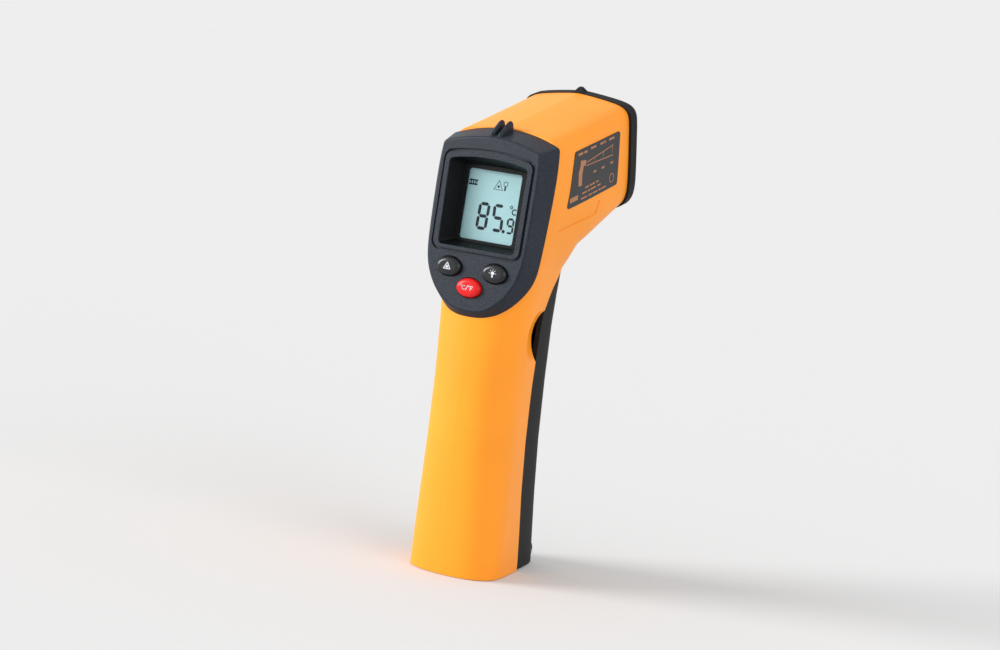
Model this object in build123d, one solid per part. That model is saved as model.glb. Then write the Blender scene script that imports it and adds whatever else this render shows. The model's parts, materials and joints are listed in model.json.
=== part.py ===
"""Pistol-shaped infrared thermometer with a swinging battery door, a pull trigger and three keys.

Millimetres, +Z up, +Y towards the nose, +X to the side that carries the label.
The flat foot stands on Z = 0 and the plane X = 0 is the plane of symmetry.
"""
from build123d import *
from math import cos, radians, sin
from typing import NamedTuple
import os

# ---------------------------------------------------------------- driving dimensions
WALL = 2.2                    # housing wall
FOOT_THICKNESS = 2.4          # floor of the two half shells
FIT = 0.05                    # radial clearance of pins, caps and inserted pieces
REACH = 60.0                  # larger than the object is wide, used for cutting blocks

# handle sections: height, half width, back Y, front Y, where it is widest (share of its depth), taper
HANDLE_SECTIONS = (
    (0.0, 16.5, -24.0, 24.0, 0.73, 0.13),
    (12.0, 16.2, -24.5, 21.9, 0.71, 0.125),
    (26.0, 15.75, -24.9, 19.8, 0.68, 0.12),
    (45.0, 15.25, -25.4, 17.5, 0.64, 0.11),
    (66.0, 15.1, -25.5, 16.2, 0.62, 0.10),
    (85.0, 15.65, -25.5, 15.1, 0.615, 0.10),
    (96.0, 16.35, -25.4, 14.7, 0.615, 0.10),
)
# the barrel grows out of the handle around a concave corner of this centre and radius
CORNER_Y, CORNER_Z, CORNER_RADIUS = 23.6, 105.6, 9.0
CORNER_TURN = 64.1            # degrees turned from the handle to the underside of the barrel
CORNER_STEPS = 9
HANDLE_TOP_BACK = -25.3
ROOF_Z, ROOF_SLOPE = 154.55, 0.272    # the roof line: Z = ROOF_Z + ROOF_SLOPE * Y
BARREL_HALF = 20.3
ROOF_CROWN, HANDLE_CROWN = 2.8, 0.9    # fall of the back from its middle ridge to its edges
RIDGE = 1.3                   # power of that fall, low enough to leave a soft ridge
NOSE_BOTTOM = (42.3, 124.8)   # Y, Z of the lowest point of the nose plane
NOSE_LEAN = 13.05             # degrees, the nose plane leans back and the barrel points up
NOSE_PLATE = 5.4              # thickness of the nose ring

# display face: X across, then down the face, then depth into the object
FACE_TILT = 4.6
FACE_TOP_Y, FACE_TOP_Z = -22.3, 150.5
BEZEL_PLATE = 2.2
BEZEL_DEPTH = 12.0
WELL_DEPTH = 5.2
LCD_HALF, LCD_TOP, LCD_BOTTOM = 10.27, 13.9, 37.4
KEY_PLACES = {"laser_button": (-8.7, 47.2), "backlight_button": (8.7, 47.2), "unit_button": (0.0, 53.2)}
KEY_HALF_WIDTH, KEY_HALF_HEIGHT = 4.9, 3.5
KEY_RISE = 1.8
BOARD_DEPTH, BOARD_THICKNESS = 11.4, 1.6
BOARD_SCREW_PLACES = ((-15.9, 13.5), (15.9, 13.5), (0.0, 44.3))

# battery door and its pin
DOOR_PIN_Y, DOOR_PIN_Z = 19.4, 3.9
DOOR_PIN_RADIUS = 1.0
KNUCKLE_RADIUS = 3.6
DOOR_INSET = 0.4              # the door lies this far below the shells' skin
DOOR_WALL = 1.8
DOOR_GAP = 0.8
DOOR_TOP_RADIUS = 101.5       # the door's upper end is an arc about its pin
TONGUE_HALF = 9.6
NOTCH_HALF, NOTCH_BOTTOM = 8.1, 82.6

# trigger
TRIGGER_PIN_Y, TRIGGER_PIN_Z = 3.5, 108.5
TRIGGER_PIN_RADIUS = 1.2
TRIGGER_HALF = 7.4
SLOT_HALF = 2.7

# two AAA cells side by side
CELL_RADIUS, CELL_LENGTH = 5.25, 44.5
CELL_X, CELL_Y = 5.45, 3.0
TRAY_FLOOR, TRAY_CEILING = 13.6, 63.4
CONTACT = 0.4

# shell screws: Y, Z of their axes, which run along X
SHELL_SCREW_PLACES = ((28.0, 127.0), (6.0, 146.0), (-15.0, 72.0), (-15.0, 24.0))
SCREW_RADIUS = 1.25
SCREW_HEAD_RADIUS, SCREW_HEAD_HEIGHT = 2.3, 1.9
SCREW_SEAT_X = -7.5

# optics on the barrel axis, and the laser above them, in the nose frame
OPTICS_RADIUS = 8.3
LASER_RISE, LASER_RADIUS = 12.6, 3.0

# ---------------------------------------------------------------- frames
FACE = Plane(
    origin=(0, FACE_TOP_Y, FACE_TOP_Z),
    x_dir=(1, 0, 0),
    z_dir=(0, cos(radians(FACE_TILT)), -sin(radians(FACE_TILT))),
)


def roof_distance(y, z, angle):
    """Distance from (y, z) to the roof line, along a ray that rises at angle towards the back."""
    rise, run = sin(radians(angle)), cos(radians(angle))
    return (ROOF_Z + ROOF_SLOPE * y - z) / (rise + ROOF_SLOPE * run)


NOSE_ANGLE = 90 - NOSE_LEAN
NOSE_HEIGHT = roof_distance(*NOSE_BOTTOM, NOSE_ANGLE)
NOSE = Plane(
    origin=(
        0,
        NOSE_BOTTOM[0] - cos(radians(NOSE_ANGLE)) * NOSE_HEIGHT / 2,
        NOSE_BOTTOM[1] + sin(radians(NOSE_ANGLE)) * NOSE_HEIGHT / 2,
    ),
    x_dir=(-1, 0, 0),
    z_dir=(0, cos(radians(NOSE_LEAN)), sin(radians(NOSE_LEAN))),
)


# ---------------------------------------------------------------- housing form
class Section(NamedTuple):
    """One closed section across the housing: a ray in the YZ plane and the shape around it."""

    y: float
    z: float
    angle: float              # of the ray, from level and backwards up to vertical
    near: float               # front of the section, along the ray
    far: float                # back or roof of the section, along the ray
    half: float               # half width
    share: float              # where it is widest, as a share of its length
    taper: float              # how much narrower it gets towards the front, per mm
    square_near: float        # superellipse exponents
    square_far: float
    crown: float              # fall of the roof from its middle to its edges


def blend(first, last, share):
    return first + (last - first) * share


def handle_section(z, half, back, front, share, taper):
    return Section(0, z, 0, -front, -back, half, share, taper, 7.0, 2.8, HANDLE_CROWN)


def corner_section(angle):
    """A section through the pivot of the concave corner."""
    share = angle / CORNER_TURN
    back = (CORNER_Y - HANDLE_TOP_BACK) / cos(radians(angle))
    roof = roof_distance(CORNER_Y, CORNER_Z, angle) if angle > 5 else 10 * back
    sharpness = 18
    far = (back**-sharpness + roof**-sharpness) ** (-1 / sharpness)
    half = blend(17.2, BARREL_HALF, sin(radians(90 * min(1, share / 0.8))))
    return Section(
        CORNER_Y, CORNER_Z, angle, CORNER_RADIUS, far, half,
        blend(0.61, 0.52, share), blend(0.10, 0.02, share),
        blend(6.5, 5.4, share), blend(3.0, 9.0, share), blend(HANDLE_CROWN, ROOF_CROWN, share),
    )


def nose_section(wider=0.0):
    half = BARREL_HALF + wider
    return Section(*NOSE_BOTTOM, NOSE_ANGLE, 0, NOSE_HEIGHT, half, 0.51, 0.01, 5.2, 9.0, ROOF_CROWN)


def quarter(square, steps=9):
    """Points of a unit superellipse quarter, from its side to its end, closest at the corner."""
    points = []
    for step in range(steps + 1):
        t = 2 * step / steps - 1
        turn = radians(45 + 45 * (1 if t > 0 else -1) * abs(t) ** 1.4)
        size = (abs(cos(turn)) ** square + abs(sin(turn)) ** square) ** (-1 / square)
        points.append((size * cos(turn), size * sin(turn)))
    points[0], points[-1] = (1.0, 0.0), (0.0, 1.0)
    return points


def section_points(section, inset):
    """Right half of the section from its front to its back, as (X, distance along the ray)."""
    near, far, half = section.near + inset, section.far - inset, section.half - inset
    middle = blend(near, far, section.share)
    front = [
        (x * (half - section.taper * w * (middle - near)), middle - w * (middle - near))
        for x, w in quarter(section.square_near)
    ]
    back = [
        (x * half, middle + w * (far - middle) - section.crown * x**RIDGE * w)
        for x, w in quarter(section.square_far)
    ]
    return front[::-1] + back[1:]


def knot_places():
    """Shared spline parameters, so that all sections have matching knots."""
    points = [Vector(*point) for point in section_points(corner_section(0.6 * CORNER_TURN), 0)]
    lengths = [(b - a).length for a, b in zip(points, points[1:])]
    return [sum(lengths[:count]) / sum(lengths) for count in range(len(points))]


KNOTS = knot_places()


def section_wire(section, inset, forward=0.0):
    rise, run = sin(radians(section.angle)), cos(radians(section.angle))
    push = Vector(0, rise, run) * forward
    right = [
        Vector(x, section.y - run * w, section.z + rise * w) + push
        for x, w in section_points(section, inset)
    ]
    left = [Vector(-point.X, point.Y, point.Z) for point in reversed(right)]
    mirrored_knots = [1 - knot for knot in reversed(KNOTS)]
    return Wire([Edge.make_spline(right, parameters=KNOTS), Edge.make_spline(left, parameters=mirrored_knots)])


def housing(inset, bottom=0.0):
    """The whole outer form, shrunk by inset, from the foot to the nose plane."""
    handle = [handle_section(max(z, bottom), *sizes) for z, *sizes in HANDLE_SECTIONS]
    corner = [corner_section(CORNER_TURN * step / CORNER_STEPS) for step in range(CORNER_STEPS + 1)]
    sections = handle + corner + [nose_section()]
    return Part() + Solid.make_loft([section_wire(section, inset) for section in sections], ruled=True)


def nose_loft(*stages, wider=0.0):
    """Stack of nose sections, each stage an (inset, distance forward)."""
    wires = [section_wire(nose_section(wider), inset, forward) for inset, forward in stages]
    return Part() + Solid.make_loft(wires, ruled=True)


# ---------------------------------------------------------------- small tools
def side_prism(points, x_low=-REACH, x_high=REACH):
    """Polygon in the YZ plane, extruded along X."""
    face = make_face(Polyline(*[(0, y, z) for y, z in points], close=True))
    return Pos(x_low, 0, 0) * extrude(face, amount=x_high - x_low, dir=(1, 0, 0))


def box_between(low, high):
    size = Vector(*high) - Vector(*low)
    middle = (Vector(*high) + Vector(*low)) / 2
    return Pos(*middle) * Box(*size)


def x_rod(radius, y, z, x_low, x_high):
    """Cylinder along X."""
    return Pos((x_low + x_high) / 2, y, z) * Rot(0, 90, 0) * Cylinder(radius, x_high - x_low)


def z_rod(radius, low, high, x=0.0, y=0.0):
    """Cylinder along Z from low to high."""
    return Pos(x, y, (low + high) / 2) * Cylinder(radius, high - low)


def on_face(part):
    return FACE.location * part


def on_nose(part):
    return NOSE.location * part


def face_block(half, top, bottom, shallow, deep):
    return box_between((-half, top, shallow), (half, bottom, deep))


def wire_run(radius, *points):
    """A wire along straight runs joined by arcs as large as the runs allow."""
    places = [Vector(*point) for point in points]
    radii = []
    for before, here, after in zip(places, places[1:], places[2:]):
        turn = (here - before).get_angle(after - here)
        shorter = min((here - before).length, (after - here).length)
        radii.append(0.45 * shorter / max(0.02, sin(radians(turn / 2)) / cos(radians(turn / 2))))
    path = FilletPolyline(*places, radius=radii)
    start = Plane(origin=path @ 0, z_dir=path % 0)
    return sweep(start * Circle(radius), path=path)


def ellipse_post(x, v, half_width, half_height, shallow, deep):
    return Pos(x, v, shallow) * extrude(Ellipse(half_width, half_height), amount=deep - shallow)


# ---------------------------------------------------------------- half shells
PARTING = ((-12.0, 10.5), (20.0, 8.7), (44.0, 8.0), (54.0, 6.4), (60.0, 4.0), (64.5, 1.7), (70.0, -1.5))
FULL_CUT_END = 44.0           # below this the bezel is let into the shells as a plug
SHIELD_FRONT = (
    (18.4, 6.4), (18.9, 13.0), (19.0, 22.0), (18.85, 33.0), (18.35, 41.5),
    (16.95, 48.2), (14.0, 53.6), (10.7, 57.0), (6.6, 59.6),
)
SHIELD_BACK = (
    (20.3, 3.7), (20.95, 10.5), (20.95, 20.5), (20.55, 33.0), (20.2, 41.8),
    (19.2, 49.4), (15.9, 56.0), (13.0, 59.8), (8.6, 64.4),
)
SHIELD_TOP = (3.1, -0.2)
SHIELD_TIP = (60.9, 68.7)
SHIELD_STEP = 8.0             # depth between the two outlines
SHIELD_MIDDLE = 33.0


def bezel_side():
    """The space behind the parting surface, in face coordinates, on the display side."""
    curve = Spline(*[(0, v, depth) for v, depth in PARTING])
    (start_v, start_depth), (end_v, end_depth) = PARTING[0], PARTING[-1]
    back = Polyline((0, end_v, end_depth), (0, end_v, -20), (0, start_v, -20), (0, start_v, start_depth))
    return Pos(-REACH, 0, 0) * extrude(make_face([curve, back]), amount=2 * REACH, dir=(1, 0, 0))


def shield(depth, inset):
    """Outline of the display bezel at a depth behind its face."""
    share = depth / SHIELD_STEP
    sides = []
    for (x0, v0), (x1, v1) in zip(SHIELD_FRONT, SHIELD_BACK):
        sides.append((blend(x0, x1, share), blend(v0, v1, share)))
    top, tip = blend(*SHIELD_TOP, share), blend(*SHIELD_TIP, share)
    scale_x = 1 - inset / sides[1][0]
    scale_v = 1 - inset / (SHIELD_MIDDLE - top)

    def place(x, v):
        return (x * scale_x, SHIELD_MIDDLE + (v - SHIELD_MIDDLE) * scale_v)

    right = [place(x, v) for x, v in sides]
    left = [(-x, v) for x, v in reversed(right)]
    edge = Spline(*right, place(0, tip), *left)
    roof = ThreePointArc(left[-1], place(0, top), right[0])
    face = make_face([edge, roof])
    corners = face.vertices().sort_by(Axis.Y)[:2]
    return Pos(0, 0, depth) * fillet(corners, 1.8)


def shield_block(inset=0.0, shallow=0.0, deep=BEZEL_DEPTH):
    """The bezel's tapering form between two depths."""
    form = loft([shield(-2, inset), shield(14, inset)], ruled=True)
    return form & box_between((-REACH, -REACH, shallow), (REACH, 2 * REACH, deep))


def door_line(shift):
    """Side view of the edge between shells and door, moved forward by shift."""
    low = ((3.9, -5), (3.7, 3), (2.4, 14), (0.5, 28.6), (-0.7, 46), (-1.0, 60), (-0.6, 90))
    high = ((1.3, 94), (3.9, 98.8), (9.4, 105.4))
    return [(y + shift, z) for y, z in low + high]


def door_zone(shift, top_radius):
    """Everything in front of the door line and under the arc about the door's pin."""
    front = side_prism(door_line(shift) + [(9.4 + shift, 125), (REACH, 125), (REACH, -5)])
    return front & x_rod(top_radius, DOOR_PIN_Y, DOOR_PIN_Z, -REACH, REACH)


def shells(outer, cavity):
    """Both halves as one hollow body, cut open for the bezel, the door and the thumb scoops."""
    shell = outer - cavity
    scoop_radius, scoop_depth, scoop_wall = 14.0, 3.1, 1.5
    scoop_x = 14.6 + scoop_radius - scoop_depth
    for side in (-1, 1):
        shell += Pos(side * scoop_x, -1.0, 81.8) * Sphere(scoop_radius + scoop_wall) & outer
    parting = bezel_side()
    full_cut = parting & box_between((-REACH, -REACH, -REACH), (REACH, FULL_CUT_END, REACH))
    plug = parting & shield_block(-FIT, -2, 14)
    shell -= on_face(full_cut)
    shell -= on_face(plug)
    shell -= door_zone(0, DOOR_TOP_RADIUS + 0.6)
    for side in (-1, 1):
        shell -= Pos(side * scoop_x, -1.0, 81.8) * Sphere(scoop_radius)
    return shell


def style_details(outer):
    """Raised collar beside the bezel and the fine pressed lines under the label, on both sides."""
    collar_start, collar_end = 6.0, 12.4
    band = box_between((-REACH, 7.5, collar_start), (REACH, 50.0, collar_end))
    core = box_between((-16.5, -REACH, -REACH), (16.5, REACH, REACH))
    collar = (housing(-0.3) - outer) & (on_face(band) - core)
    collar -= on_face(bezel_side())
    lines = [((-5.2, 118.9), (19.0, 124.7)), ((19.0, 124.7), (19.9, 129.0))]
    grooves = Part()
    for (y0, z0), (y1, z1) in lines:
        start, end = Vector(0, y0, z0), Vector(0, y1, z1)
        aside = Vector(1, 0, 0).cross((end - start).normalized()) * 0.45
        corners = (start + aside, end + aside, end - aside, start - aside)
        grooves += side_prism([(corner.Y, corner.Z) for corner in corners])
    return collar, grooves


def screw_boss(y, z, side):
    """Boss of one half: the left one takes the head, the right one the thread."""
    if side < 0:
        return x_rod(3.3, y, z, -REACH, 0)
    return x_rod(3.0, y, z, 0, REACH)


def screw_hole(y, z, side):
    if side < 0:
        clearance = x_rod(SCREW_RADIUS + 0.2, y, z, SCREW_SEAT_X - 1, 0)
        return clearance + x_rod(SCREW_HEAD_RADIUS + 0.4, y, z, -REACH, SCREW_SEAT_X)
    return x_rod(SCREW_RADIUS + FIT, y, z, 0, 9)


def half_shell(shell, outer, cavity, collar, grooves, side):
    """One orange half with its bosses; side is -1 for the left and 1 for the right."""
    wanted = box_between(
        (min(0, side * REACH), -REACH, -10),
        (max(0, side * REACH), 90, 200),
    )
    half = (shell + collar) & wanted
    half -= (grooves & wanted) - housing(0.2)
    for y, z in SHELL_SCREW_PLACES:
        half += screw_boss(y, z, side) & outer & wanted
        half -= screw_hole(y, z, side)
    low, high = sorted((side * 7.8, side * REACH))
    hinge_boss = x_rod(2.9, TRIGGER_PIN_Y, TRIGGER_PIN_Z, low, high) & outer
    half += hinge_boss
    low, high = sorted((0, side * 13.2))
    half -= x_rod(TRIGGER_PIN_RADIUS + FIT, TRIGGER_PIN_Y, TRIGGER_PIN_Z, low, high)
    return half


# ---------------------------------------------------------------- display bezel
def arched_outline(top_half, bottom_half, middle_top, corner_top, bottom, rounding, depth):
    """Window outline with an arched upper edge, in face coordinates."""
    edges = [
        ThreePointArc((-top_half, corner_top), (0, middle_top), (top_half, corner_top)),
        Line((top_half, corner_top), (bottom_half, bottom)),
        Line((bottom_half, bottom), (-bottom_half, bottom)),
        Line((-bottom_half, bottom), (-top_half, corner_top)),
    ]
    face = make_face(edges)
    return Pos(0, 0, depth) * fillet(face.vertices(), rounding)


def rear_sight():
    """Two parallel bevelled fins on top of the bezel, rising towards the front."""
    profile = ((-21.6, 147.0), (-21.2, 148.9), (-15.6, 153.2), (-14.6, 153.2), (-13.8, 151.6), (-13.7, 147.0))
    face = make_face(Polyline(*[(0, y, z) for y, z in profile], close=True))
    fins = Part()
    for middle in (-1.6, 1.6):
        for side in (-1, 1):
            fins += Pos(middle, 0, 0) * extrude(face, amount=0.85, dir=(side, 0, 0), taper=28)
    return fins


def make_bezel():
    block = shield_block()
    rim = block.faces().sort_by(Axis.Z)[0].edges()
    block = fillet(rim, 0.9)
    bezel = block & bezel_side()
    frame_height, groove_width, groove_depth = 0.4, 0.8, 0.6
    groove = extrude(arched_outline(17.3, 17.2, 7.3, 9.2, 42.3, 3.2, 0), amount=groove_depth)
    groove -= extrude(arched_outline(16.5, 16.4, 8.1, 10.0, 41.5, 2.6, 0), amount=groove_depth)
    bezel -= Pos(0, 0, -0.01) * groove
    bezel += Pos(0, 0, -frame_height) * extrude(
        arched_outline(16.5, 16.4, 8.1, 10.0, 41.5, 2.6, 0), amount=frame_height + groove_depth + 0.2
    )
    hollow = shield_block(1.8, BEZEL_PLATE, BEZEL_DEPTH)
    bezel -= hollow
    well_floor = 1.0
    walls = extrude(
        arched_outline(15.0, 14.8, 9.6, 11.2, 40.8, 1.5, BEZEL_PLATE - 0.2),
        amount=WELL_DEPTH + well_floor - BEZEL_PLATE + 0.2,
    )
    bezel += walls
    well = loft(
        [
            arched_outline(15.0, 14.6, 10.0, 11.7, 40.4, 1.6, -frame_height - 0.1),
            arched_outline(11.9, 11.7, 12.4, 12.9, 38.3, 0.8, WELL_DEPTH),
        ],
        ruled=True,
    )
    bezel -= well
    window = face_block(LCD_HALF, LCD_TOP, LCD_BOTTOM, WELL_DEPTH - 1, WELL_DEPTH + well_floor + 1)
    bezel -= fillet(window.edges().filter_by(Axis.Z), 1.0)
    for x, v in KEY_PLACES.values():
        bezel -= ellipse_post(x, v, KEY_HALF_WIDTH, KEY_HALF_HEIGHT, -1, BEZEL_PLATE + 1)
    for x, v in BOARD_SCREW_PLACES:
        bezel += z_rod(1.8, BEZEL_PLATE - 0.2, BOARD_DEPTH, x, v)
        bezel -= z_rod(0.95, 4.0, BOARD_DEPTH + 1, x, v)
    return on_face(bezel) + rear_sight()


def make_key(x, v):
    """Domed cap with a flange that keeps it behind the bezel and a stem down to its switch."""
    gap = 0.3
    cap = ellipse_post(x, v, KEY_HALF_WIDTH - gap, KEY_HALF_HEIGHT - gap, -KEY_RISE, BEZEL_PLATE + 0.2)
    cap = fillet(cap.edges().sort_by(Axis.Z)[0], 1.6)
    flange = ellipse_post(x, v, KEY_HALF_WIDTH + 0.4, KEY_HALF_HEIGHT + 0.4, BEZEL_PLATE + FIT, 3.0)
    return on_face(cap + flange + z_rod(1.5, 2.9, 6.2, x, v))


# ---------------------------------------------------------------- display and board
def make_lcd_window():
    pane = face_block(12.2, 12.2, 39.2, 6.25, 7.05)
    step = face_block(LCD_HALF - FIT, LCD_TOP + FIT, LCD_BOTTOM - FIT, 5.35, 6.3)
    return on_face(pane + fillet(step.edges().filter_by(Axis.Z), 0.95))


def make_lcd_glass():
    return on_face(face_block(12.2, 11.8, 40.0, 7.1, 8.7))


def make_diffuser():
    return on_face(face_block(12.0, 13.6, 38.2, 8.75, 11.3))


def make_lcd_frame():
    outer = face_block(13.9, 10.3, 41.5, 6.3, 11.35)
    return on_face(fillet(outer.edges().filter_by(Axis.Z), 1.0) - face_block(12.35, 11.6, 40.2, 6.0, 12.0))


def make_zebra_strips():
    strips = [face_block(11.5, top, top + 1.5, 8.75, BOARD_DEPTH - 0.02) for top in (11.9, 38.35)]
    return on_face(strips[0] + strips[1])


def make_board():
    low, high = 8.0, 57.5
    outline = Polyline(
        (-17.2, low), (17.2, low), (16.6, 24.0), (14.0, 40.0), (10.5, high), (-10.5, high),
        (-14.0, 40.0), (-16.6, 24.0), close=True,
    )
    face = fillet(make_face(outline).vertices(), 1.5)
    board = Pos(0, 0, BOARD_DEPTH) * extrude(face, amount=BOARD_THICKNESS)
    for x, v in BOARD_SCREW_PLACES:
        board -= z_rod(1.2, BOARD_DEPTH - 1, BOARD_DEPTH + BOARD_THICKNESS + 1, x, v)
    return on_face(board)


def make_key_switches():
    switches = Part()
    for x, v in KEY_PLACES.values():
        switches += box_between((x - 3, v - 3, 8.0), (x + 3, v + 3, BOARD_DEPTH))
        switches += z_rod(1.7, 7.1, 8.0, x, v)
    return on_face(switches)


def make_chip():
    back = BOARD_DEPTH + BOARD_THICKNESS
    chip = box_between((-4.5, 19.5, back), (4.5, 28.5, back + 1.3))
    return on_face(chamfer(chip.edges().group_by(Axis.Z)[-1], 0.25))


def make_buzzer():
    back = BOARD_DEPTH + BOARD_THICKNESS
    body = fillet(z_rod(6.0, back, back + 4.5, 0, 35.6).edges().sort_by(Axis.Z)[-1], 0.5)
    return on_face(body - z_rod(1.0, back + 2.5, back + 6, 0, 35.6))


def make_board_screws():
    back = BOARD_DEPTH + BOARD_THICKNESS
    screws = Part()
    for x, v in BOARD_SCREW_PLACES:
        head = fillet(z_rod(1.9, back, back + 1.4, x, v).edges().sort_by(Axis.Z)[-1], 0.5)
        slot = box_between((x - 1.2, v - 0.2, back + 0.8), (x + 1.2, v + 0.2, back + 2))
        cross = box_between((x - 0.2, v - 1.2, back + 0.8), (x + 0.2, v + 1.2, back + 2))
        screws += head - slot - cross + z_rod(0.9, 5.0, back + 0.1, x, v)
    return on_face(screws)


# ---------------------------------------------------------------- nose and optics
def make_nose_ring():
    front = NOSE_PLATE
    ring = nose_loft(
        (-0.25, 0), (-0.25, front - 1.5), (-0.1, front - 0.8), (0.3, front - 0.25), (0.9, front), wider=0.75
    )
    recess_floor = 4.2
    ring -= nose_loft((3.0, recess_floor), (2.6, NOSE_PLATE + 1))
    spigot = nose_loft((WALL + 0.25, -3.0), (WALL + 0.15, 0.1)) - nose_loft((3.8, -4.0), (3.8, 0.0))
    ring += spigot
    mouth = Pos(0, 0, (1.2 + recess_floor) / 2) * Cone(OPTICS_RADIUS + FIT, 10.8, recess_floor - 1.2 + 0.02)
    ring -= on_nose(mouth + z_rod(OPTICS_RADIUS + FIT, -1, 6))
    ring -= on_nose(z_rod(2.2, -1, 6, 0, LASER_RISE) + z_rod(2.6 + FIT, 2.4, 6, 0, LASER_RISE))
    sight_base, sight_top = NOSE_HEIGHT / 2 - 0.2, NOSE_HEIGHT / 2 + 1.8
    base = Plane(origin=(0, sight_base, 2.1), x_dir=(1, 0, 0), z_dir=(0, 1, 0))
    tip = Plane(origin=(0, sight_top, 2.1), x_dir=(1, 0, 0), z_dir=(0, 1, 0))
    sight = loft([base * Rectangle(4.6, 3.6), tip * Rectangle(1.0, 1.6)], ruled=True)
    return ring + on_nose(sight)


def make_optics_tube():
    tube = z_rod(OPTICS_RADIUS, -18, 2.9)
    tube -= z_rod(6.6, -16.5, 3)
    tube -= z_rod(7.4, 1.2, 4)
    tube -= z_rod(4.2, -19, -16)
    return on_nose(tube)


def make_lens():
    """Thin lens with a gently domed front."""
    radius, back, edge, middle = 7.35, 1.25, 2.0, 2.75
    sphere = (radius**2 + (middle - edge) ** 2) / (2 * (middle - edge))
    halfway = middle - sphere + (sphere**2 - (radius / 2) ** 2) ** 0.5
    profile = make_face([
        Polyline((0, 0, middle), (0, 0, back), (radius, 0, back), (radius, 0, edge)),
        ThreePointArc((radius, 0, edge), (radius / 2, 0, halfway), (0, 0, middle)),
    ])
    return on_nose(revolve(profile, Axis.Z))


def make_thermopile():
    can = fillet(z_rod(4.1, -19.5, -14.5).edges().sort_by(Axis.Z)[-1], 0.5)
    can -= z_rod(2.0, -14.9, -14)
    return on_nose(can + z_rod(4.6, -19.6, -18.05))


def make_sensor_board():
    return on_nose(z_rod(7.5, -20.8, -19.65) - box_between((-9, -9, -22), (9, -6.4, -19)))


def make_sensor_carrier():
    plate = nose_loft((WALL + 0.6, -9.0), (WALL + 0.6, -7.0))
    plate -= on_nose(z_rod(OPTICS_RADIUS + FIT, -10, -6) + z_rod(LASER_RADIUS + FIT, -10, -6, 0, LASER_RISE))
    sleeve = z_rod(OPTICS_RADIUS + 1.4, -12.0, -9.0) - z_rod(OPTICS_RADIUS + FIT, -13, -8)
    return plate + on_nose(sleeve - z_rod(LASER_RADIUS + 0.2, -13, -8, 0, LASER_RISE))


def make_laser_module():
    body = z_rod(LASER_RADIUS, -14, -0.2, 0, LASER_RISE) - z_rod(1.2, -1.2, 0, 0, LASER_RISE)
    return on_nose(chamfer(body.edges().sort_by(Axis.Z)[-1], 0.4))


def make_laser_window():
    return on_nose(z_rod(2.6, 2.45, 3.2, 0, LASER_RISE))


# ---------------------------------------------------------------- battery compartment
def make_door():
    form_inside = housing(DOOR_INSET + DOOR_WALL, 2.2)
    form = housing(DOOR_INSET) - form_inside
    door = form & door_zone(DOOR_GAP, DOOR_TOP_RADIUS)
    window_top = DOOR_PIN_Z + KNUCKLE_RADIUS + 0.5
    door -= box_between((-TONGUE_HALF - 0.3, 0, -5), (TONGUE_HALF + 0.3, REACH, window_top))
    door -= box_between((-NOTCH_HALF, 0, NOTCH_BOTTOM), (NOTCH_HALF, REACH, 120))
    knuckles = x_rod(KNUCKLE_RADIUS, DOOR_PIN_Y, DOOR_PIN_Z, -REACH, REACH)
    knuckles -= box_between((-TONGUE_HALF - 0.3, 0, -5), (TONGUE_HALF + 0.3, REACH, window_top))
    door += knuckles & housing(DOOR_INSET)
    cheek_zone = form_inside & door_zone(DOOR_GAP + 2, DOOR_TOP_RADIUS)
    for side in (-1, 1):
        low, high = sorted((side * (NOTCH_HALF + 0.2), side * (NOTCH_HALF + 1.2)))
        door += box_between((low, -REACH, NOTCH_BOTTOM - 4), (high, REACH, 120)) & cheek_zone
    corner = box_between((-REACH, DOOR_PIN_Y, -5), (REACH, REACH, DOOR_PIN_Z))
    door -= corner - x_rod(KNUCKLE_RADIUS, DOOR_PIN_Y, DOOR_PIN_Z, -REACH, REACH)
    door -= box_between((-REACH, -REACH, -5), (REACH, REACH, 0.3))
    return door - x_rod(DOOR_PIN_RADIUS + FIT, DOOR_PIN_Y, DOOR_PIN_Z, -10.9, 10.9)


def make_door_pin():
    return x_rod(DOOR_PIN_RADIUS, DOOR_PIN_Y, DOOR_PIN_Z, -10.8, 10.8)


def make_tray():
    back = box_between((-11.7, -4.8, 9.5), (11.7, -3.4, 68.0))
    tray = fillet(back.edges().filter_by(Axis.Y), 1.5)
    for low, high in ((TRAY_FLOOR - 1.4, TRAY_FLOOR), (TRAY_CEILING, TRAY_CEILING + 1.4)):
        tray += box_between((-TONGUE_HALF, -4.8, low), (TONGUE_HALF, 7.6, high))
    for side in (-1, 1):
        low, high = sorted((side * 10.9, side * 11.7))
        tray += box_between((low, -4.8, 12.2), (high, -1.6, 64.8))
    tray += box_between((-TONGUE_HALF, -4.8, 2.6), (TONGUE_HALF, -3.4, 13.0))
    tray += box_between((-TONGUE_HALF, -4.8, 2.6), (TONGUE_HALF, DOOR_PIN_Y, 5.0))
    tray += box_between((-TONGUE_HALF, 6.2, 0.3), (TONGUE_HALF, DOOR_PIN_Y, 5.0))
    tray += x_rod(KNUCKLE_RADIUS, DOOR_PIN_Y, DOOR_PIN_Z, -TONGUE_HALF, TONGUE_HALF)
    return tray - x_rod(DOOR_PIN_RADIUS + FIT, DOOR_PIN_Y, DOOR_PIN_Z, -REACH, REACH)


def make_cell(x, low, nub_up):
    """AAA cell with a raised positive nub."""
    nub = 1.0
    can_low = low if nub_up else low + nub
    can = z_rod(CELL_RADIUS, can_low, can_low + CELL_LENGTH - nub, x, CELL_Y)
    can = fillet(can.edges().filter_by(GeomType.CIRCLE), 0.4)
    nub_low = can_low + CELL_LENGTH - nub if nub_up else low
    return can + z_rod(1.9, nub_low - 0.3, nub_low + nub + 0.3, x, CELL_Y) & z_rod(
        CELL_RADIUS, low, low + CELL_LENGTH, x, CELL_Y
    )


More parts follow.
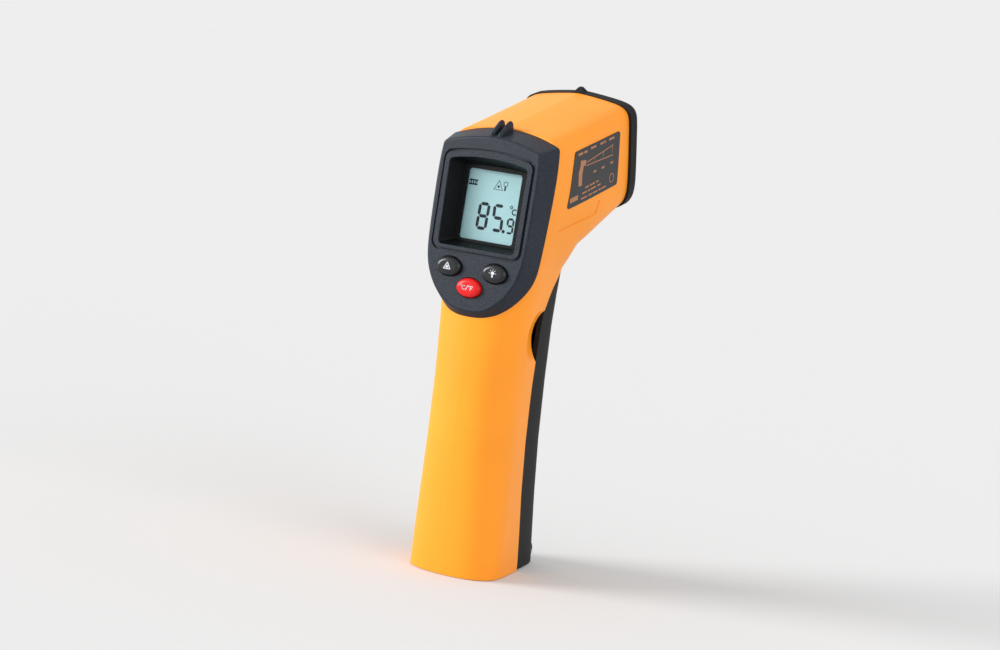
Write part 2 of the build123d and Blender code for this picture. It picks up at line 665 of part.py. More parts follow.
LEFT_CELL_LOW = TRAY_CEILING - CONTACT - 0.1 - CELL_LENGTH
RIGHT_CELL_LOW = TRAY_FLOOR + CONTACT + 0.1


def contact_spring(x, low, high):
    """Coil between a contact plate and the flat end of a cell."""
    wire = 0.3
    height = high - low - 2 * wire - 0.1
    coil = Helix(pitch=height / 3.5, height=height, radius=3.0)
    start = Plane(origin=coil @ 0, z_dir=coil % 0)
    return Pos(x, CELL_Y, low + wire + 0.05) * sweep(start * Circle(wire), path=coil)


def make_cell_springs():
    left = contact_spring(-CELL_X, TRAY_FLOOR + CONTACT, LEFT_CELL_LOW)
    right = contact_spring(CELL_X, RIGHT_CELL_LOW + CELL_LENGTH, TRAY_CEILING - CONTACT)
    return left + right


def make_contact_plates():
    bridge = box_between((-9.6, -2.2, TRAY_CEILING - CONTACT), (9.6, 7.4, TRAY_CEILING))
    plates = fillet(bridge.edges().filter_by(Axis.Z), 1.5)
    for side in (-1, 1):
        low, high = sorted((side * 0.8, side * 9.6))
        plate = box_between((low, -2.2, TRAY_FLOOR), (high, 7.4, TRAY_FLOOR + CONTACT))
        plates += fillet(plate.edges().filter_by(Axis.Z), 1.5)
    return plates


# ---------------------------------------------------------------- trigger group
def make_trigger():
    """Concave finger piece on an arm that reaches up to the pin."""
    front = Spline((0, 12.6, 104.6), (0, 13.6, 99.0), (0, 15.6, 92.6), (0, 18.6, 86.9))
    back = Polyline(
        (0, 18.6, 86.9), (0, 17.4, 85.5), (0, 9.6, 86.0), (0, 7.8, 98.0), (0, 3.9, 103.2),
        (0, 0.9, 107.2), (0, 5.6, 110.6), (0, 8.8, 104.6), (0, 12.6, 104.6),
    )
    body = extrude(make_face([front, back]), amount=TRIGGER_HALF, both=True, dir=(1, 0, 0))
    side_edges = body.edges().filter_by(lambda edge: abs(edge.center().X) > TRIGGER_HALF - 0.1)
    body = fillet(side_edges.filter_by(lambda edge: edge.center().Y > 14), 1.5)
    body += x_rod(3.0, TRIGGER_PIN_Y, TRIGGER_PIN_Z, -TRIGGER_HALF, TRIGGER_HALF)
    body += box_between((-2, 6.2, 90.6), (2, 9.5, 93.6))
    body -= box_between((-SLOT_HALF, -5, 100.5), (SLOT_HALF, 8.8, 115))
    return body - x_rod(TRIGGER_PIN_RADIUS + FIT, TRIGGER_PIN_Y, TRIGGER_PIN_Z, -REACH, REACH)


def make_trigger_pin():
    return x_rod(TRIGGER_PIN_RADIUS, TRIGGER_PIN_Y, TRIGGER_PIN_Z, -13.0, 13.0)


def make_trigger_spring():
    """Torsion spring around the trigger's pin, with two straight legs."""
    wire, turns, pitch, leg = 0.32, 4.25, 0.85, 6.0
    coil = Helix(pitch=pitch, height=pitch * turns, radius=1.85)
    spring = sweep(Plane(origin=coil @ 0, z_dir=coil % 0) * Circle(wire), path=coil)
    for place, direction in ((coil @ 0, (coil % 0) * -1), (coil @ 1, coil % 1)):
        spring += Part() + Solid.make_cylinder(wire, leg, Plane(origin=place, z_dir=direction))
    centred = Pos(0, 0, -pitch * turns / 2) * spring
    return Pos(0, TRIGGER_PIN_Y, TRIGGER_PIN_Z) * Rot(0, 90, 0) * centred


def make_trigger_board():
    return box_between((-8.0, -2.6, 86.0), (8.0, -1.4, 99.5))


def make_trigger_switch():
    switch = box_between((-3, -1.4, 89.1), (3, 2.0, 95.1))
    return switch + Pos(0, 2.75, 92.1) * Rot(90, 0, 0) * Cylinder(1.6, 1.7)


# ---------------------------------------------------------------- fasteners, label and wires
def make_shell_screws():
    screws = Part()
    for y, z in SHELL_SCREW_PLACES:
        seat = SCREW_SEAT_X
        head = x_rod(SCREW_HEAD_RADIUS, y, z, seat - SCREW_HEAD_HEIGHT, seat)
        head = fillet(head.edges().sort_by(Axis.X)[0], 0.7)
        depth = seat - SCREW_HEAD_HEIGHT + 1.1
        head -= box_between((-REACH, y - 1.3, z - 0.25), (depth, y + 1.3, z + 0.25))
        head -= box_between((-REACH, y - 0.25, z - 1.3), (depth, y + 0.25, z + 1.3))
        screws += head + x_rod(SCREW_RADIUS, y, z, seat - 0.1, 7.5)
    return screws


def make_label(outer):
    """Thin printed plate on the right side of the barrel."""
    corners = ((-2.3, 145.4), (28.8, 153.1), (31.5, 134.6), (-2.6, 125.9))
    prism = side_prism(corners, 14.0, REACH)
    prism = fillet(prism.edges().filter_by(Axis.X), 1.2)
    return (housing(-0.2) - outer) & prism


def make_battery_wires():
    wires = Part()
    for side in (-1, 1):
        wires += wire_run(
            0.6, (side * 9, -5.5, 14.5), (side * 9, -6.6, 32), (side * 8.6, -6.4, 58),
            (side * 6.2, -8.4, 82), (side * 4, -11.9, 97.2),
        )
    return wires


def make_sensor_wires():
    wires = Part()
    for x in (-3.0, -1.0, 1.0, 3.0):
        wires += wire_run(0.45, (x, 16.2, 138.7), (x, 8.0, 138.4), (x, -1.5, 136.2), (x, -9.4, 135.6))
    return wires


def make_laser_wires():
    wires = Part()
    for x in (-1.2, 1.2):
        wires += wire_run(0.45, (x, 20.6, 152.9), (x, 13.0, 151.9), (x * 3, 3.0, 151.0), (x * 5, -4.6, 146.2),
                          (x * 5.6, -9.2, 140.8))
    return wires


def make_trigger_wires():
    wires = Part()
    for x in (-5.0, 5.0):
        wires += wire_run(0.45, (x, -3.2, 97.0), (x, -7.4, 98.6), (x * 1.1, -11.9, 101.8))
    return wires


# ---------------------------------------------------------------- write one STEP file per piece
def main():
    os.makedirs("parts", exist_ok=True)
    outer = housing(0)
    cavity = housing(WALL, FOOT_THICKNESS)
    shell = shells(outer, cavity)
    collar, grooves = style_details(outer)
    pieces = {
        "right_shell": half_shell(shell, outer, cavity, collar, grooves, 1),
        "left_shell": half_shell(shell, outer, cavity, collar, grooves, -1),
        "display_bezel": make_bezel(),
        "nose_ring": make_nose_ring(),
        "battery_door": make_door(),
        "door_pin": make_door_pin(),
        "side_label": make_label(outer),
        "lcd_window": make_lcd_window(),
        "lcd_glass": make_lcd_glass(),
        "backlight_diffuser": make_diffuser(),
        "lcd_frame": make_lcd_frame(),
        "zebra_strips": make_zebra_strips(),
        "main_board": make_board(),
        "key_switches": make_key_switches(),
        "controller_chip": make_chip(),
        "buzzer": make_buzzer(),
        "board_screws": make_board_screws(),
        "optics_tube": make_optics_tube(),
        "fresnel_lens": make_lens(),
        "thermopile": make_thermopile(),
        "sensor_board": make_sensor_board(),
        "sensor_carrier": make_sensor_carrier(),
        "laser_module": make_laser_module(),
        "laser_window": make_laser_window(),
        "battery_tray": make_tray(),
        "cell_left": make_cell(-CELL_X, LEFT_CELL_LOW, True),
        "cell_right": make_cell(CELL_X, RIGHT_CELL_LOW, False),
        "cell_springs": make_cell_springs(),
        "contact_plates": make_contact_plates(),
        "trigger": make_trigger(),
        "trigger_pin": make_trigger_pin(),
        "trigger_spring": make_trigger_spring(),
        "trigger_board": make_trigger_board(),
        "trigger_switch": make_trigger_switch(),
        "shell_screws": make_shell_screws(),
        "battery_wires": make_battery_wires(),
        "sensor_wires": make_sensor_wires(),
        "laser_wires": make_laser_wires(),
        "trigger_wires": make_trigger_wires(),
    }
    for name, (x, v) in KEY_PLACES.items():
        pieces[name] = make_key(x, v)
    box = Compound(children=[Compound(piece.solids()) for piece in pieces.values()]).bounding_box()
    to_origin = Pos(0, -box.center().Y, 0)
    for name, piece in pieces.items():
        export_step(to_origin * piece, f"parts/{name}.step")


main()
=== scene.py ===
"""Looks of the pistol-shaped infrared thermometer: materials, print, display and studio."""

import json
from math import ceil, cos, pi, radians, sin

import bmesh
import bpy
from mathutils import Matrix, Vector
from mathutils.bvhtree import BVHTree


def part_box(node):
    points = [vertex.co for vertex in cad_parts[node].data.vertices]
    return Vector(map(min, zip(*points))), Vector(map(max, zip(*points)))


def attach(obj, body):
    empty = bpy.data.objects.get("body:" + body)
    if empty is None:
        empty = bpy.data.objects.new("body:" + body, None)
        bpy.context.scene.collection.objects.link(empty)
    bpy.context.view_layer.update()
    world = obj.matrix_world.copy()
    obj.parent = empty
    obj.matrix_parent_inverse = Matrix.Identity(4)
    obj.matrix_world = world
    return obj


MM = 0.001

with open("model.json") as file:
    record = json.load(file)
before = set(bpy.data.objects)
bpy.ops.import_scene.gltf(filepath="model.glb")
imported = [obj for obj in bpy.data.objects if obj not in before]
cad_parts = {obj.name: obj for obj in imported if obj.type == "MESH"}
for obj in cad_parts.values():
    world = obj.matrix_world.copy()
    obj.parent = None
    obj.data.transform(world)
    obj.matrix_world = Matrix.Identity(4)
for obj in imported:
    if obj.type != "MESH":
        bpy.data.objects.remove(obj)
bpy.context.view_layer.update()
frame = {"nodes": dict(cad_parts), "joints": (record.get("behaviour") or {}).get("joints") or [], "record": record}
nodes = frame["nodes"]

# ---------------------------------------------------------------- places taken from the frame
# the object's drawing frame is moved along Y so that the box is centred; its door pin is at Y 19.4 mm
joints = {joint["name"]: joint for joint in frame["joints"]}
DRAWING = Vector((0, joints["battery_door_swing"]["pos_m"][1] - 19.4 * MM, 0))

ACROSS = Vector((1, 0, 0))
FACE_TILT = radians(4.6)                     # the display face leans forward by this much
FACE_DOWN = Vector((0, -sin(FACE_TILT), -cos(FACE_TILT)))
FACE_IN = Vector((0, cos(FACE_TILT), -sin(FACE_TILT)))
FACE_TOP = DRAWING + Vector((0, -22.3, 150.5)) * MM


def face_point(across, down, into):
    """Point on the display face: across, down from its top and into the object, in mm."""
    return FACE_TOP + (ACROSS * across + FACE_DOWN * down + FACE_IN * into) * MM


# ---------------------------------------------------------------- node helpers
class Shader:
    """A material's node tree, with short ways to add and link nodes."""

    def __init__(self, name):
        self.material = bpy.data.materials.new(name)
        self.material.use_nodes = True
        self.tree = self.material.node_tree
        self.surface = self.tree.nodes["Principled BSDF"]
        self.output = self.tree.nodes["Material Output"]
        self.coords = self.tree.nodes.new("ShaderNodeTexCoord").outputs["Object"]

    def add(self, kind, **settings):
        node = self.tree.nodes.new("ShaderNode" + kind)
        for key, value in settings.items():
            if hasattr(node, key):
                setattr(node, key, value)
            else:
                node.inputs[key.replace("_", " ")].default_value = value
        return node

    def link(self, source, target):
        self.tree.links.new(source, target)

    def set(self, **values):
        for key, value in values.items():
            self.surface.inputs[key.replace("_", " ")].default_value = value

    def noise(self, scale, detail=2.0, roughness=0.5):
        node = self.add("TexNoise", Scale=scale, Detail=detail, Roughness=roughness)
        self.link(self.coords, node.inputs["Vector"])
        return node.outputs["Fac"]

    def ramp(self, source, *stops):
        """Colour or grey by position; each stop is (position, colour)."""
        node = self.add("ValToRGB")
        elements = node.color_ramp.elements
        while len(elements) < len(stops):
            elements.new(0.5)
        for element, (position, colour) in zip(elements, stops):
            element.position = position
            element.color = (*colour, 1) if isinstance(colour, tuple) else (colour, colour, colour, 1)
        self.link(source, node.inputs["Fac"])
        return node.outputs["Color"]

    def along(self, direction, origin):
        """Distance of the shaded point from the origin along a direction, in mm."""
        offset = self.add("VectorMath", operation="SUBTRACT")
        self.link(self.coords, offset.inputs[0])
        offset.inputs[1].default_value = origin
        dot = self.add("VectorMath", operation="DOT_PRODUCT")
        self.link(offset.outputs["Vector"], dot.inputs[0])
        dot.inputs[1].default_value = direction / MM
        return dot.outputs["Value"]

    def between(self, value, low, high):
        node = self.add("Math", operation="COMPARE")
        self.link(value, node.inputs[0])
        node.inputs[1].default_value = (low + high) / 2
        node.inputs[2].default_value = (high - low) / 2
        return node.outputs["Value"]

    def both(self, first, second):
        node = self.add("Math", operation="MULTIPLY")
        self.link(first, node.inputs[0])
        self.link(second, node.inputs[1])
        return node.outputs["Value"]

    def overlay(self, socket_name, mask, value):
        """Where the mask is 1, the surface input takes this value instead."""
        target = self.surface.inputs[socket_name]
        is_colour = isinstance(value, tuple)
        mix = self.add("Mix", data_type="RGBA" if is_colour else "FLOAT")
        pick = [socket for socket in mix.inputs if socket.enabled]
        factor, first, second = pick
        self.link(mask, factor)
        if target.links:
            self.link(target.links[0].from_socket, first)
        else:
            first.default_value = target.default_value
        second.default_value = (*value, 1) if is_colour else value
        self.link(next(socket for socket in mix.outputs if socket.enabled), target)

    def drive(self, socket_name, source, *stops):
        """The surface input follows a ramp over the source."""
        self.link(self.ramp(source, *stops), self.surface.inputs[socket_name])

    def bump(self, *layers):
        """Each layer is (height, distance in metres, strength)."""
        normal = None
        for height, distance, strength in layers:
            node = self.add("Bump", Distance=distance, Strength=strength)
            self.link(height, node.inputs["Height"])
            if normal is not None:
                self.link(normal, node.inputs["Normal"])
            normal = node.outputs["Normal"]
        self.link(normal, self.surface.inputs["Normal"])


def moulded(name, colour, rough, grain=1.0, variation=0.05, specular=0.5):
    """Spark-eroded plastic with fine grain. Its tone drifts slowly, or speckles if it varies a lot."""
    shader = Shader(name)
    darker = tuple(channel * (1 - variation) for channel in colour)
    lighter = tuple(min(1, channel * (1 + variation)) for channel in colour)
    fine = shader.noise(2600, 3.0, 0.6)
    tone = shader.noise(38, 3.0) if variation < 0.2 else fine
    shader.drive("Base Color", tone, (0.3, darker), (0.7, lighter))
    medium = shader.noise(900, 2.0)
    shader.drive("Roughness", fine, (0.25, rough - 0.05), (0.75, rough + 0.06))
    shader.bump((fine, 0.00008, 0.35 * grain), (medium, 0.00012, 0.12 * grain))
    shader.set(Specular_IOR_Level=specular)
    return shader


def bezel_plastic(name, colour):
    """Slate plastic, darkened to near black with duller reflections inside the sloping recess around the display:
    painted shade.
    """
    shader = moulded(name, colour, 0.42, grain=3.5, variation=0.75, specular=0.22)
    into = shader.between(shader.along(FACE_IN, FACE_TOP), -0.15, 9.0)
    down = shader.between(shader.along(FACE_DOWN, FACE_TOP), 9.0, 41.2)
    across = shader.between(shader.along(ACROSS, FACE_TOP), -15.4, 15.4)
    recess_painted_shade = shader.both(shader.both(into, down), across)
    # painted shade: the recess around the display is darkened to near black, with duller reflections
    shader.overlay("Base Color", recess_painted_shade, (0.004, 0.0045, 0.005))
    shader.overlay("Specular IOR Level", recess_painted_shade, 0.12)
    return shader


def metal(name, colour, rough):
    """Drawn or turned metal with faint tool lines and gloss variation."""
    shader = Shader(name)
    mapping = shader.add("Mapping", Scale=(1, 1, 40))
    shader.link(shader.coords, mapping.inputs["Vector"])
    lines = shader.add("TexNoise", Scale=400, Detail=3.0)
    shader.link(mapping.outputs["Vector"], lines.inputs["Vector"])
    depth = lines.outputs["Fac"]
    shader.drive("Base Color", depth, (0.3, tuple(c * 0.86 for c in colour)), (0.7, colour))
    shader.drive("Roughness", depth, (0.2, rough * 0.7), (0.8, rough * 1.4))
    shader.bump((depth, 0.00004, 0.3))
    shader.set(Metallic=1.0)
    return shader


def clear(name, tint, amount=0.08):
    """Thin clear plastic: what is behind shows unbent, under a soft reflection."""
    shader = Shader(name)
    haze = shader.noise(500, 2.0)
    shader.drive("Roughness", haze, (0.3, 0.05), (0.7, 0.12))
    shader.set(Base_Color=(0, 0, 0, 1), IOR=1.45)
    through = shader.add("BsdfTransparent", Color=(*tint, 1))
    mix = shader.add("MixShader", Fac=amount)
    shader.link(through.outputs["BSDF"], mix.inputs[1])
    shader.link(shader.surface.outputs["BSDF"], mix.inputs[2])
    shader.link(mix.outputs["Shader"], shader.output.inputs["Surface"])
    return shader


def print_ink(name, colour, rough=0.45):
    shader = Shader(name)
    grain = shader.noise(3000, 2.0)
    shader.drive("Base Color", grain, (0.3, tuple(c * 0.9 for c in colour)), (0.7, colour))
    shader.set(Roughness=rough, Specular_IOR_Level=0.3)
    return shader


def circuit_board(name):
    """Green solder mask over faint copper tracks."""
    shader = Shader(name)
    tracks = shader.add("TexBrick", Scale=260.0, offset=0.5, squash=1.4)
    shader.link(shader.coords, tracks.inputs["Vector"])
    tracks.inputs["Color1"].default_value = (0.015, 0.13, 0.05, 1)
    tracks.inputs["Color2"].default_value = (0.02, 0.16, 0.06, 1)
    tracks.inputs["Mortar"].default_value = (0.05, 0.24, 0.09, 1)
    shader.link(tracks.outputs["Color"], shader.surface.inputs["Base Color"])
    shader.bump((tracks.outputs["Fac"], 0.00004, 0.5))
    shader.set(Roughness=0.35)
    return shader


def cell_sleeve(name):
    """Printed foil sleeve with two generic bands."""
    shader = Shader(name)
    parts = shader.add("SeparateXYZ")
    shader.link(shader.coords, parts.inputs["Vector"])
    low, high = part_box("cell_left")
    span = shader.add("MapRange")
    shader.link(parts.outputs["Z"], span.inputs["Value"])
    span.inputs["From Min"].default_value = low[2]
    span.inputs["From Max"].default_value = high[2]
    bare, blue, gold = (0.72, 0.71, 0.68), (0.02, 0.05, 0.16), (0.55, 0.36, 0.12)
    stops = ((0.0, bare), (0.05, blue), (0.62, blue), (0.66, gold), (0.95, gold), (0.99, bare))
    shader.drive("Base Color", span.outputs["Result"], *stops)
    shader.drive("Roughness", shader.noise(600), (0.3, 0.2), (0.7, 0.3))
    shader.set(Metallic=0.5)
    return shader


def display_cell(name):
    """Reflective liquid crystal glass, pale and slightly uneven, with a faint painted glow standing in for light
    in its recess.
    """
    shader = Shader(name)
    cloud = shader.noise(45, 2.0)
    shader.drive("Base Color", cloud, (0.3, (0.37, 0.55, 0.58)), (0.7, (0.41, 0.60, 0.62)))
    shader.drive("Roughness", shader.noise(1800), (0.3, 0.35), (0.7, 0.45))
    # painted light: the emission makes the unlit display glow brighter in its shaded recess
    shader.set(Emission_Color=(0.40, 0.60, 0.64, 1), Emission_Strength=0.2)
    return shader


ORANGE = (0.93, 0.305, 0.018)
SLATE = (0.013, 0.018, 0.028)
CHARCOAL = (0.014, 0.014, 0.015)

MATERIALS = {
    "shell_orange": moulded("orange_abs", ORANGE, 0.40, grain=0.5, variation=0.03, specular=0.22),
    "bezel_grey": bezel_plastic("slate_abs", SLATE),
    "trim_dark": moulded("charcoal_abs", CHARCOAL, 0.60, grain=2.0, variation=0.5, specular=0.10),
    "key_black": moulded("black_key", (0.009, 0.010, 0.012), 0.25, grain=0.6, variation=0.1, specular=0.4),
    "key_red": moulded("red_key", (0.62, 0.008, 0.008), 0.28, grain=0.3, variation=0.05, specular=0.3),
    "label_print": moulded("label_foil", (0.018, 0.018, 0.021), 0.4, grain=0.5, variation=0.06, specular=0.3),
    "clear_window": clear("clear_window", (0.97, 1.0, 1.0)),
    "lcd_cell": display_cell("display_cell"),
    "white_plastic": moulded("white_diffuser", (0.75, 0.75, 0.73), 0.5, grain=0.5),
    "conductive_rubber": moulded("zebra_rubber", (0.55, 0.30, 0.32), 0.7, grain=1.5),
    "circuit_board": circuit_board("solder_mask"),
    "black_component": moulded("black_component", (0.012, 0.012, 0.013), 0.5, grain=1.0),
    "steel": metal("steel", (0.55, 0.55, 0.56), 0.3),
    "nickel": metal("nickel", (0.72, 0.70, 0.66), 0.2),
    "brass": metal("brass", (0.78, 0.56, 0.24), 0.28),
    "lens": moulded("infrared_lens", (0.52, 0.54, 0.52), 0.28, grain=0.4),
    "cell_can": cell_sleeve("cell_sleeve"),
    "wire_red": moulded("red_insulation", (0.50, 0.02, 0.02), 0.45, grain=0.5),
    "wire_grey": moulded("grey_insulation", (0.10, 0.10, 0.11), 0.45, grain=0.5),
}
INK_WHITE = print_ink("ink_white", (0.62, 0.65, 0.70))
INK_ORANGE = print_ink("ink_orange", (0.40, 0.17, 0.07))
INK_SEGMENT = print_ink("ink_segment", (0.008, 0.011, 0.022), 0.5)

# ---------------------------------------------------------------- CAD nodes
for entry in frame["record"]["subparts"]:
    node = nodes[entry["node"]]
    node.data.materials.clear()
    node.data.materials.append(MATERIALS[entry["material_slot"]].material)
    node.data.shade_smooth()
    node.data.set_sharp_from_angle(angle=radians(32))


# ---------------------------------------------------------------- print made of strokes and shapes
class Print:
    """Thin raised print in millimetres on a plane, or laid along the outward ray onto a CAD node."""

    def __init__(self, origin, across, down, height=0.04, onto=None):
        self.origin, self.across, self.down = origin, across, down
        self.out = down.cross(across)
        self.height = height
        self.mesh = bmesh.new()
        self.ground = None
        if onto:
            data = nodes[onto].data
            polygons = [polygon.vertices for polygon in data.polygons]
            self.ground = BVHTree.FromPolygons([vertex.co for vertex in data.vertices], polygons)

    def place(self, x, y, lift):
        point = self.origin + (self.across * x + self.down * y) * MM
        if self.ground:
            hit = self.ground.ray_cast(point + self.out * 0.01, -self.out, 0.02)[0]
            point = hit if hit else point
        return point + self.out * lift * MM

    def polygon(self, points):
        top, bottom = (
            [self.mesh.verts.new(self.place(x, y, lift)) for x, y in points] for lift in (self.height, -0.01)
        )
        self.mesh.faces.new(top)
        self.mesh.faces.new(bottom[::-1])
        count = len(points)
        for i in range(count):
            j = (i + 1) % count
            self.mesh.faces.new((top[i], bottom[i], bottom[j], top[j]))

    def stroke(self, width, *points, overlap=0.5):
        """Straight bars through the points, in short lengths where they follow a curved surface."""
        for start, end in zip(points, points[1:]):
            start, end = Vector(start), Vector(end)
            count = ceil((end - start).length / 1.5) if self.ground else 1
            run = (end - start).normalized() * width / 2
            side = Vector((-run.y, run.x))
            low, high = start - run * overlap, end + run * overlap
            for i in range(count):
                near, far = low.lerp(high, i / count), low.lerp(high, (i + 1) / count)
                self.polygon([tuple(corner) for corner in (near + side, far + side, far - side, near - side)])

    def disc(self, x, y, radius, steps=20):
        turns = [2 * pi * i / steps for i in range(steps)]
        self.polygon([(x + radius * cos(turn), y + radius * sin(turn)) for turn in turns])

    def ring(self, x, y, radius, width, start=0.0, end=360.0, steps=20):
        turns = [radians(start + (end - start) * i / steps) for i in range(steps + 1)]
        self.stroke(width, *[(x + radius * cos(turn), y + radius * sin(turn)) for turn in turns])

    def rays(self, x, y, near, far, width, turns):
        """Short strokes outwards from a centre; a turn of 0 degrees points up."""
        for turn in turns:
            out = Vector((sin(radians(turn)), -cos(radians(turn))))
            self.stroke(width, (x + out.x * near, y + out.y * near), (x + out.x * far, y + out.y * far))

    def finish(self, name, shader, slot, body):
        bmesh.ops.recalc_face_normals(self.mesh, faces=self.mesh.faces)
        data = bpy.data.meshes.new(name)
        self.mesh.to_mesh(data)
        self.mesh.free()
        data.materials.append(shader.material)
        piece = bpy.data.objects.new(name, data)
        bpy.context.scene.collection.objects.link(piece)
        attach(piece, body)


SEGMENTS = {
    "a": ((0, 0), (1, 0)), "b": ((1, 0), (1, 1)), "c": ((1, 1), (1, 2)), "d": ((0, 2), (1, 2)),
    "e": ((0, 1), (0, 2)), "f": ((0, 0), (0, 1)), "g": ((0, 1), (1, 1)),
}
DIGITS = {"8": "abcdefg", "5": "acdfg", "9": "abcdfg"}


def digit(target, value, x, y, width, height, thickness, slant):
    """Seven-segment digit with mitred segments; (x, y) is the middle of its top left corner."""
    gap = 0.04 * width
    for name in DIGITS[value]:
        (x0, y0), (x1, y1) = SEGMENTS[name]
        start = Vector((x + x0 * width, y + y0 * height / 2))
        end = Vector((x + x1 * width, y + y1 * height / 2))
        run = (end - start).normalized()
        side = Vector((-run.y, run.x))
        start += run * gap
        end -= run * gap
        half = thickness / 2
        outline = [
            start, start + (run + side) * half, end + (side - run) * half, end,
            end - (side + run) * half, start + (run - side) * half,
        ]
        target.polygon([(p.x - slant * (p.y - y), p.y) for p in outline])


GLASS_DEPTH = 7.1                            # of the display glass behind the face

lcd = Print(face_point(0, 0, GLASS_DEPTH), ACROSS, FACE_DOWN, height=0.02)
digit(lcd, "8", -4.75, 25.1, 3.3, 8.2, 1.1, 0.03)
digit(lcd, "5", 0.75, 25.0, 3.3, 8.2, 1.1, -0.03)
lcd.disc(5.3, 33.2, 0.6)
digit(lcd, "9", 6.5, 28.8, 2.1, 4.6, 0.72, 0.0)
lcd.ring(7.0, 24.9, 0.45, 0.26)
lcd.ring(8.4, 26.35, 0.85, 0.4, 50, 310)
lcd.stroke(1.9, (-10.0, 18.5), (-7.6, 18.5))
lcd.stroke(0.2, (0.95, 16.7), (-0.7, 19.8), (2.6, 19.8), (0.95, 16.7))
lcd.disc(0.95, 18.75, 0.42)
lcd.ring(3.5, 17.7, 0.72, 0.2)
lcd.stroke(0.62, (3.5, 18.6), (3.5, 19.7))
lcd.rays(3.5, 17.7, 0.95, 1.3, 0.14, (-50, 0, 50))
lcd.finish("lcd_segments", INK_SEGMENT, "lcd_cell", "housing")

bar_marks = Print(face_point(0, 0, GLASS_DEPTH - 0.03), ACROSS, FACE_DOWN, height=0.01)
for x in (-10.1, -9.2, -8.3, -7.4):
    bar_marks.stroke(0.42, (x, 18.15), (x, 18.85))
bar_marks.finish("lcd_bar_marks", MATERIALS["lcd_cell"], "lcd_cell", "housing")


KEY_PLACES = {"laser_button": (-8.7, 47.2), "backlight_button": (8.7, 47.2), "unit_button": (0.0, 53.2)}


def new_key_print(name):
    return Print(face_point(*KEY_PLACES[name], -2.0), ACROSS, FACE_DOWN, height=0.03, onto=name)


icon = new_key_print("laser_button")
icon.stroke(0.26, (0, -1.25), (-1.3, 0.95), (1.3, 0.95), (0, -1.25))
icon.disc(0, 0.22, 0.4)
icon.rays(0, 0.22, 0.4, 0.75, 0.13, range(0, 360, 45))
icon.finish("laser_icon", INK_WHITE, "key_black", "laser_button")

icon = new_key_print("backlight_button")
icon.disc(0, -0.15, 0.62)
icon.stroke(0.55, (0, 0.35), (0, 1.05))
icon.rays(0, -0.15, 0.9, 1.35, 0.16, range(-90, 91, 45))
icon.finish("lamp_icon", INK_WHITE, "key_black", "backlight_button")

icon = new_key_print("unit_button")
icon.ring(-2.2, -0.6, 0.24, 0.18)
icon.ring(-1.2, 0.05, 0.62, 0.26, 50, 310)
icon.stroke(0.22, (-0.35, 0.8), (0.2, -0.75))
icon.ring(0.65, -0.6, 0.24, 0.18)
icon.stroke(0.26, (1.3, 0.7), (1.3, -0.6), (2.15, -0.6))
icon.stroke(0.24, (1.3, 0.05), (1.95, 0.05))
icon.finish("unit_icon", INK_WHITE, "key_red", "unit_button")

# ---------------------------------------------------------------- print on the side label
UP = Vector((0, 0, 1))
ALONG = Vector((0, 1, 0))
LABEL_LOW, LABEL_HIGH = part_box("side_label")


class SidePrint(Print):
    """Print on the right side of the barrel, with drawing coordinates Y and Z in mm."""

    def __init__(self, height=0.03):
        super().__init__(DRAWING + ACROSS * LABEL_HIGH.x, ALONG, -UP, height, onto="side_label")

    def place(self, x, y, lift):
        return super().place(x, -y, lift)

    def words(self, width, start, end, *lengths):
        """A line of plain dashes in place of writing, each taking its share of the line."""
        start, end = Vector(start), Vector(end)
        total, at = sum(lengths), 0.0
        for length in lengths:
            near, far = start.lerp(end, at / total), start.lerp(end, (at + length * 0.8) / total)
            self.stroke(width, near, far, overlap=0)
            at += length


label = SidePrint()
# a small outline of the instrument and the cone that it measures
label.polygon([(2.1, 142.6), (2.3, 140.9), (6.0, 141.0), (5.9, 142.9)])
label.polygon([(2.3, 140.9), (1.6, 138.4), (2.6, 133.9), (5.0, 134.2), (4.3, 137.9), (4.6, 141.0)])
label.stroke(0.32, (6.6, 142.1), (24.6, 148.2))
label.stroke(0.32, (6.6, 141.0), (25.2, 144.8))
for y in (12.0, 17.9, 24.2):
    label.stroke(0.28, (y, 142.1 + (y - 6.6) * 0.2), (y + 0.1, 142.1 + (y - 6.6) * 0.334))
label.words(0.8, (-0.1, 144.5), (6.5, 146.0), 3, 2)
label.words(0.75, (8.3, 146.8), (12.9, 147.9), 1)
label.words(0.75, (14.9, 148.4), (18.9, 149.4), 2, 1)
label.words(0.75, (21.0, 149.9), (25.6, 151.0), 1)
label.words(0.7, (12.4, 138.9), (14.6, 139.4), 1)
label.words(0.7, (18.0, 140.2), (20.4, 140.8), 1)
label.words(0.7, (24.2, 141.9), (26.6, 142.5), 1)
label.words(0.55, (7.6, 133.5), (17.4, 136.0), 3, 4, 2)
label.words(0.55, (6.1, 131.5), (19.4, 134.9), 4, 2, 5, 3)
label.words(0.55, (5.8, 129.6), (23.9, 134.2), 5, 3, 4, 2, 4)
label.words(1.7, (-1.8, 128.9), (4.8, 130.6), 1)
label.ring(26.6, 136.8, 1.5, 0.4, steps=28)
label.finish("label_marks", INK_ORANGE, "label_print", "housing")

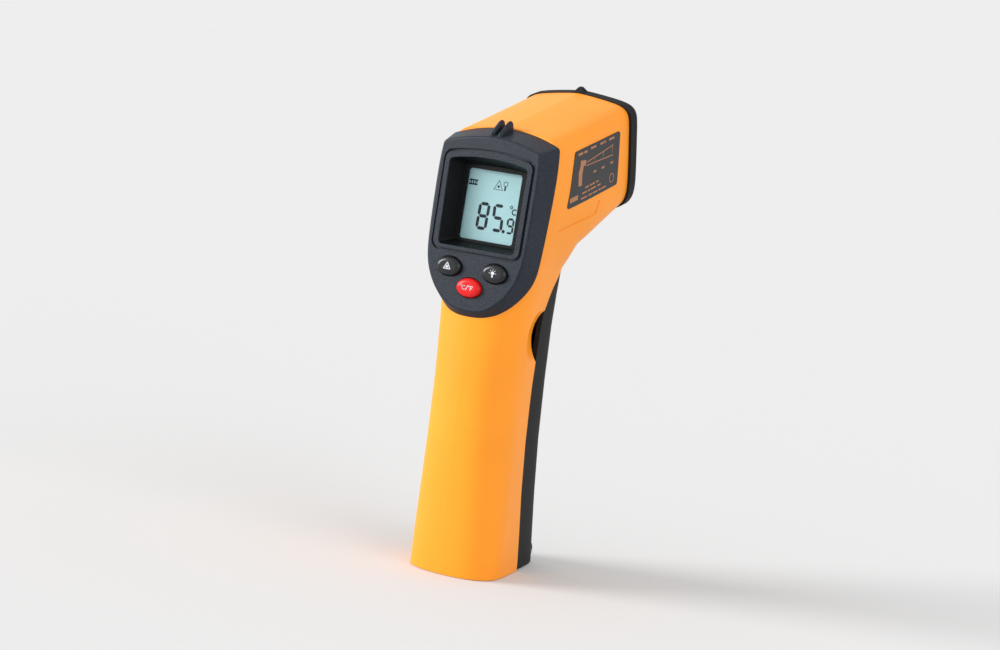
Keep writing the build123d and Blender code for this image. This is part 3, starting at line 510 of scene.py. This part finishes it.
# ---------------------------------------------------------------- studio
STUDIO = 0.855                               # brightness of the sky and of the lit floor
FLOOR_TONE = 0.655
FLOOR_HALF = 6.0

floor_mesh = bpy.data.meshes.new("floor")
corners = [(x * FLOOR_HALF, y * FLOOR_HALF, 0) for x, y in ((-1, -1), (1, -1), (1, 1), (-1, 1))]
floor_mesh.from_pydata(corners, [], [range(4)])
floor = bpy.data.objects.new("floor", floor_mesh)
floor.location.z = -0.2 * MM                 # a little lower than the foot
bpy.context.scene.collection.objects.link(floor)
floor_shader = Shader("floor_paper")
floor_shader.set(Base_Color=(FLOOR_TONE, FLOOR_TONE, FLOOR_TONE, 1), Roughness=1.0, Specular_IOR_Level=0.0)
floor_mesh.materials.append(floor_shader.material)

world = bpy.data.worlds.new("studio")
bpy.context.scene.world = world
world.use_nodes = True
sky = world.node_tree.nodes["Background"].inputs
sky["Color"].default_value = (STUDIO, STUDIO, STUDIO, 1)
sky["Strength"].default_value = 1.0


def far_softbox(name, direction, strength, angle):
    """Broad soft light from a direction, even over the floor."""
    light = bpy.data.lights.new(name, "SUN")
    light.energy, light.angle = strength, radians(angle)
    lamp = bpy.data.objects.new(name, light)
    lamp.rotation_euler = (-Vector(direction)).to_track_quat("-Z", "Y").to_euler()
    bpy.context.scene.collection.objects.link(lamp)


far_softbox("key_light", (-0.80, -0.56, 0.30), 3.6, 30)
far_softbox("side_light", (0.85, -0.30, 0.43), 0.8, 45)

# ---------------------------------------------------------------- camera behind and right of the display
camera_data = bpy.data.cameras.new("camera")
camera_data.sensor_width = 36.0
camera_data.lens = 86.21
camera = bpy.data.objects.new("camera", camera_data)
right = Vector((0.864096, 0.488932, 0.119513))
up = Vector((-0.167787, 0.055950, 0.984234))
backwards = Vector((0.474537, -0.870526, 0.130382))
turn = Matrix((right, up, backwards)).transposed().to_4x4()
camera.matrix_world = Matrix.Translation(DRAWING + Vector((0.385664, -0.710028, 0.189638))) @ turn
bpy.context.scene.collection.objects.link(camera)
bpy.context.scene.camera = camera
bpy.context.scene.view_settings.view_transform = "Standard"
